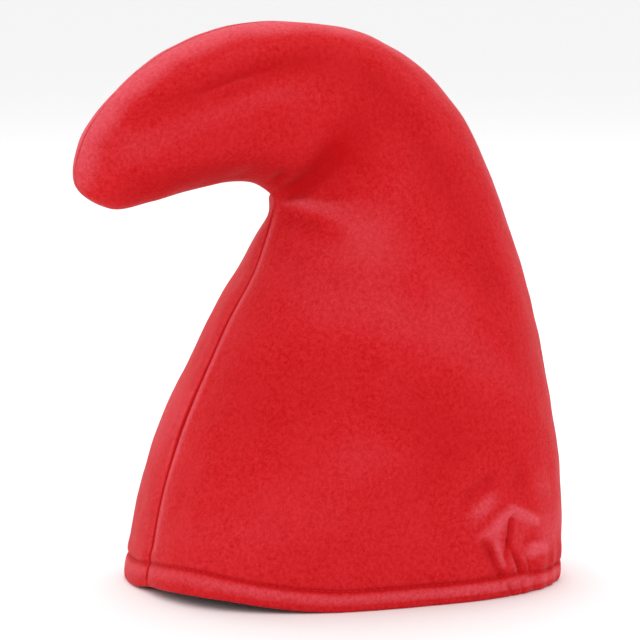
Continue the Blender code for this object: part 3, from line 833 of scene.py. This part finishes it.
def add_stitch(mesh, centre, out):
    """A short thread along these points, arched outwards and diving in at both ends."""
    from_middle = np.abs(np.linspace(-1, 1, len(centre)))
    centre = centre + out * (THREAD * (0.55 - 2.4 * from_middle**4))[:, None]
    ahead = unit(np.gradient(centre, axis=0))
    beside = unit(np.cross(ahead, out))
    over = np.cross(beside, ahead)
    girth = THREAD * (1 - 0.35 * from_middle**6)
    rings = []
    for i in range(len(centre)):
        ring = []
        for step in range(THREAD_SIDES):
            turn = 2 * math.pi * step / THREAD_SIDES
            offset = (over[i] * math.cos(turn) + beside[i] * math.sin(turn)) * girth[i]
            ring.append(mesh.verts.new(centre[i] + offset))
        rings.append(ring)
    add_tube(mesh, rings)


def stitch_mesh(side):
    """The hem's stitches on one side of the hat, a row outside and a row inside."""
    mesh = bmesh.new()
    for depth, outwards, outer in ((0, 1, True), (INNER_STITCH_DEPTH, -1, False)):
        points, normal = outside_path(side, STITCH_HEIGHT, depth, outer)
        run = arc_lengths(points[None])[0]
        start = FIRST_STITCH
        while start + STITCH_LENGTH < run[-1]:
            at = start + STITCH_LENGTH * np.linspace(0, 1, STITCH_STATIONS)
            centre = np.stack([np.interp(at, run, points[:, axis]) for axis in range(3)], axis=1)
            out = np.stack([np.interp(at, run, normal[:, axis]) for axis in range(3)], axis=1)
            add_stitch(mesh, centre, unit(out) * outwards)
            start += STITCH_PITCH
    bmesh.ops.recalc_face_normals(mesh, faces=mesh.faces)
    return mesh


def elastic_mesh():
    """The elastic band in the hem's slot, from one side of the back seam to the other."""
    half_span = np.linspace(1 - ELASTIC_HALF_LENGTH / RIM_LENGTH, 1, ELASTIC_COLUMNS)
    top = ELASTIC_BASE + ELASTIC_HEIGHT
    half = ELASTIC_THICKNESS / 2
    rounding = 0.25 * MM
    outline = (
        (ELASTIC_BASE, rounding - half), (ELASTIC_BASE, half - rounding), (ELASTIC_BASE + rounding, half),
        (top - rounding, half), (top, half - rounding), (top, rounding - half), (top - rounding, -half),
        (ELASTIC_BASE + rounding, -half),
    )
    heights, depths = np.array(outline).T
    depths = depths + CLOTH + HEM_SLOT / 2
    f = np.repeat(half_span[None], len(outline), axis=0)
    halves = []
    for side in (1, -1):
        half_ring = skin(place_of_height(heights), f, depths[:, None], side)
        half_ring[..., 2] = np.minimum(half_ring[..., 2], heights[:, None])
        halves.append(on_side(half_ring, side))
    halves[1][:, -1] = halves[0][:, -1] = (halves[0][:, -1] + halves[1][:, -1]) / 2
    rings = np.concatenate([halves[0], halves[1][:, -2::-1]], axis=1).transpose(1, 0, 2)
    rings = sway(rings) + FRAME_SHIFT
    mesh = bmesh.new()
    add_tube(mesh, [[mesh.verts.new(p) for p in ring] for ring in rings])
    bmesh.ops.recalc_face_normals(mesh, faces=mesh.faces)
    return mesh


def new_material(name, roughness, specular, sheen=0.0, sheen_roughness=0.5, tint=(1, 1, 1, 1)):
    """A material with these uniform values, its node tree and its shader."""
    made = bpy.data.materials.new(name)
    made.use_nodes = True
    shader = made.node_tree.nodes["Principled BSDF"]
    shader.inputs["Roughness"].default_value = roughness
    shader.inputs["Specular IOR Level"].default_value = specular
    shader.inputs["Sheen Weight"].default_value = sheen
    shader.inputs["Sheen Roughness"].default_value = sheen_roughness
    shader.inputs["Sheen Tint"].default_value = tint
    return made, made.node_tree, shader


def object_coordinates(tree):
    """Places on the hat, which the materials' patterns follow."""
    return tree.nodes.new("ShaderNodeTexCoord").outputs["Object"]


def noise(tree, coordinates, scale, detail=2.0, roughness=0.5):
    """A cloudy pattern with this many clouds to the metre."""
    node = tree.nodes.new("ShaderNodeTexNoise")
    node.inputs["Scale"].default_value = scale
    node.inputs["Detail"].default_value = detail
    node.inputs["Roughness"].default_value = roughness
    tree.links.new(coordinates, node.inputs["Vector"])
    return node.outputs["Fac"]


def ribs(tree, coordinates, scale, distortion):
    """Level ribs, one over the other."""
    node = tree.nodes.new("ShaderNodeTexWave")
    node.bands_direction = "Z"
    node.inputs["Scale"].default_value = scale
    node.inputs["Distortion"].default_value = distortion
    tree.links.new(coordinates, node.inputs["Vector"])
    return node.outputs["Fac"]


def ramp(tree, value, low, high):
    """Stretches the range from low to high over 0 to 1."""
    node = tree.nodes.new("ShaderNodeMapRange")
    node.inputs["From Min"].default_value = low
    node.inputs["From Max"].default_value = high
    tree.links.new(value, node.inputs["Value"])
    return node.outputs["Result"]


def scaled(tree, value, share):
    """The value times a share."""
    node = tree.nodes.new("ShaderNodeMath")
    node.operation = "MULTIPLY"
    node.inputs[1].default_value = share
    tree.links.new(value, node.inputs[0])
    return node.outputs["Value"]


def weighted(tree, first, second, share):
    """A mix of two values, with this share of the second one."""
    node = tree.nodes.new("ShaderNodeMix")
    node.data_type = "FLOAT"
    node.inputs["Factor"].default_value = share
    tree.links.new(first, node.inputs["A"])
    tree.links.new(second, node.inputs["B"])
    return node.outputs["Result"]


def colour_mix(tree, factor, first, second):
    """A mix of two colours, each a tuple or another node's output."""
    node = tree.nodes.new("ShaderNodeMix")
    node.data_type = "RGBA"
    tree.links.new(factor, node.inputs["Factor"])
    for colour, name in ((first, "A"), (second, "B")):
        socket = [i for i in node.inputs if i.name == name and i.type == "RGBA"][0]
        if isinstance(colour, tuple):
            socket.default_value = (*colour, 1)
        else:
            tree.links.new(colour, socket)
    return [o for o in node.outputs if o.type == "RGBA"][0]


def bump(tree, height, distance, strength, shader):
    """Raises the shader's surface by a height from 0 to 1."""
    node = tree.nodes.new("ShaderNodeBump")
    node.inputs["Distance"].default_value = distance
    node.inputs["Strength"].default_value = strength
    tree.links.new(height, node.inputs["Height"])
    tree.links.new(node.outputs["Normal"], shader.inputs["Normal"])


def fleece_material():
    """Brushed fleece: deep red with a soft, fine nap, with painted shade in its folds, dents and seams and a
    paler painted highlight on their raised places.
    """
    made, tree, shader = new_material("brushed_red_fleece", 0.95, 0.05, 0.23, 0.26, (0.95, 0.93, 1.0, 1))
    at = object_coordinates(tree)
    tufts = noise(tree, at, 1500, roughness=0.7)
    clumps = noise(tree, at, 520)
    mottle = ramp(tree, weighted(tree, tufts, clumps, 0.45), 0.33, 0.67)
    nap = colour_mix(tree, mottle, (0.486, 0.0010, 0.0026), (0.680, 0.026, 0.033))

    brushed = ramp(tree, noise(tree, at, 50), 0.30, 0.70)
    colour = colour_mix(tree, scaled(tree, brushed, 0.35), nap, (0.625, 0.023, 0.030))

    # The attribute holds painted shade and highlight, made from the hat's shape.
    shade_and_light = tree.nodes.new("ShaderNodeAttribute")
    shade_and_light.attribute_name = "painted_shade_and_highlight"
    # down is the share of painted shade, where the value is positive.
    down = ramp(tree, shade_and_light.outputs["Fac"], 0.0, 1.0)
    highlit = ramp(tree, shade_and_light.outputs["Fac"], 0.0, -1.0)
    # Painted shade: a darker red mixed in by that share.
    colour = colour_mix(tree, scaled(tree, down, 0.8), colour, (0.45, 0.0028, 0.0044))
    # Pale pink painted highlight colours for the raised places.
    highlight_colours = colour_mix(tree, mottle, (0.62, 0.050, 0.070), (0.81, 0.116, 0.146))
    colour = colour_mix(tree, scaled(tree, highlit, 0.8), colour, highlight_colours)
    tree.links.new(colour, shader.inputs["Base Color"])

    pile = weighted(tree, noise(tree, at, 1900, 3.0, 0.65), clumps, 0.4)
    bump(tree, pile, 0.6 * MM, 0.8, shader)
    return made


def backing_material():
    """The fleece's knitted back, seen only inside the hat."""
    made, tree, shader = new_material("knitted_red_backing", 0.9, 0.15, 0.15, 0.5, (1.0, 0.85, 0.85, 1))
    at = object_coordinates(tree)
    grain = weighted(tree, ribs(tree, at, 260, 1.5), noise(tree, at, 520), 0.6)
    colour = colour_mix(tree, grain, (0.50, 0.010, 0.014), (0.66, 0.030, 0.036))
    tree.links.new(colour, shader.inputs["Base Color"])
    bump(tree, grain, 0.35 * MM, 0.5, shader)
    return made


def thread_material():
    """Polyester sewing thread in the cloth's red."""
    made, tree, shader = new_material("red_sewing_thread", 0.7, 0.12)
    twist = noise(tree, object_coordinates(tree), 2600, 1.0)
    colour = colour_mix(tree, ramp(tree, twist, 0.35, 0.65), (0.50, 0.008, 0.012), (0.60, 0.020, 0.028))
    tree.links.new(colour, shader.inputs["Base Color"])
    bump(tree, twist, 0.1 * MM, 0.4, shader)
    return made


def elastic_material():
    """Woven white elastic with fine lengthwise ribs."""
    made, tree, shader = new_material("woven_white_elastic", 0.75, 0.3)
    at = object_coordinates(tree)
    grain = weighted(tree, ribs(tree, at, 420, 0.6), noise(tree, at, 900), 0.35)
    colour = colour_mix(tree, grain, (0.68, 0.67, 0.64), (0.84, 0.83, 0.80))
    tree.links.new(colour, shader.inputs["Base Color"])
    bump(tree, grain, 0.2 * MM, 0.5, shader)
    return made


def new_object(name, mesh, materials, collection):
    """An object made from mesh data, which is freed."""
    data = bpy.data.meshes.new(name)
    mesh.to_mesh(data)
    mesh.free()
    for one in materials:
        data.materials.append(one)
    made = bpy.data.objects.new(name, data)
    collection.objects.link(made)
    return made


def add_piece(name, mesh, materials, collection):
    """One of the hat's pieces, smooth but for its sharp edges."""
    made = new_object(name, mesh, materials, collection)
    made.data.shade_smooth()
    made.data.set_sharp_from_angle(angle=SHARP_ANGLE)
    return made


class Lamp(NamedTuple):
    """A rectangle of light: place, the point it faces and its sides, in metres, and its power in watts."""

    name: str
    at: tuple
    aim: tuple
    size: tuple
    power: float


LAMPS = (
    Lamp("key", (1.3, -0.7, 1.0), (0, 0, 0.12), (1.4, 1.0), 3.2),
    Lamp("front_fill", (-0.1, -1.8, 0.5), (0, 0, 0.12), (1.2, 0.9), 2.6),
    Lamp("back_fill", (0.9, 1.6, 0.5), (0, 0, 0.08), (1.2, 0.9), 2),
    Lamp("back_top", (-1.0, 0.45, 1.6), (-1.0, 0.451, 0), (1.6, 1.6), 16),
)


def add_lamp(lamp):
    """Hangs one lamp and turns it to the point it faces."""
    light = bpy.data.lights.new(lamp.name, "AREA")
    light.shape = "RECTANGLE"
    light.size, light.size_y = lamp.size
    light.energy = lamp.power
    made = bpy.data.objects.new(lamp.name, light)
    made.location = lamp.at
    made.rotation_euler = (Vector(lamp.aim) - Vector(lamp.at)).to_track_quat("-Z", "Y").to_euler()
    bpy.context.scene.collection.objects.link(made)


def studio():
    """A pale floor and soft light from all around, strongest from above."""
    scene = bpy.context.scene
    scene.view_settings.view_transform = "Standard"
    world = bpy.data.worlds.new("studio")
    world.use_nodes = True
    backdrop = world.node_tree.nodes["Background"]
    backdrop.inputs["Color"].default_value = (1.0, 1.0, 1.0, 1)
    backdrop.inputs["Strength"].default_value = WORLD_STRENGTH
    scene.world = world
    made, _, shader = new_material("pale_floor", 0.9, 0.1)
    shader.inputs["Base Color"].default_value = (0.94, 0.94, 0.94, 1)
    mesh = bmesh.new()
    bmesh.ops.create_circle(mesh, cap_ends=True, segments=96, radius=FLOOR_RADIUS)
    new_object("floor", mesh, [made], scene.collection)
    for lamp in LAMPS:
        add_lamp(lamp)


def camera():
    """The photo's view: the hat's left side, turned 25 degrees to the front, 6.6 degrees over the horizon."""
    turn, up = CAMERA_AZIMUTH, CAMERA_ELEVATION
    out = Vector((math.cos(turn) * math.cos(up), -math.sin(turn) * math.cos(up), math.sin(up)))
    right = Vector((math.sin(turn), math.cos(turn), 0))
    above = Vector((-math.cos(turn) * math.sin(up), math.sin(turn) * math.sin(up), math.cos(up)))
    aim = CAMERA_TARGET + right * AIM_RIGHT + above * AIM_UP
    data = bpy.data.cameras.new("camera")
    data.sensor_width = SENSOR_WIDTH
    data.lens = SENSOR_WIDTH * CAMERA_DISTANCE / (PICTURE_WIDTH * METRES_PER_PIXEL)
    data.clip_end = 100
    made = bpy.data.objects.new("camera", data)
    made.location = aim + out * CAMERA_DISTANCE
    made.rotation_euler = (-out).to_track_quat("-Z", "Y").to_euler()
    bpy.context.scene.collection.objects.link(made)
    bpy.context.scene.camera = made


def dress():
    """Makes the hat's pieces and says what each one is."""
    collection = bpy.data.collections.new("gnome_hat")
    bpy.context.scene.collection.children.link(collection)
    fleece, backing = fleece_material(), backing_material()
    thread, elastic = thread_material(), elastic_material()
    band = add_piece("nape_band", elastic_mesh(), [elastic], collection)
    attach(band, "root")
    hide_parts("nape_elastic")
    for name, side in (("left", 1), ("right", -1)):
        cloth = add_piece(name + "_cloth", panel_mesh(side), [fleece, backing], collection)
        stitches = add_piece(name + "_hem_stitches", stitch_mesh(side), [thread], collection)
        for piece in (cloth, stitches):
            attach(piece, "root")
        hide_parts(name + "_panel")


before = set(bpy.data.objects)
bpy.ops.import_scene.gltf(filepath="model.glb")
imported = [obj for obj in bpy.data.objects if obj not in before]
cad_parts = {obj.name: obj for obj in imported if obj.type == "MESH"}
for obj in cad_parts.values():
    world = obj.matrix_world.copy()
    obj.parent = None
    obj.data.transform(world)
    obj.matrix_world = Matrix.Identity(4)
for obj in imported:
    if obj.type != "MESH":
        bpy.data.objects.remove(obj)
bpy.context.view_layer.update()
camera()
studio()
dress()
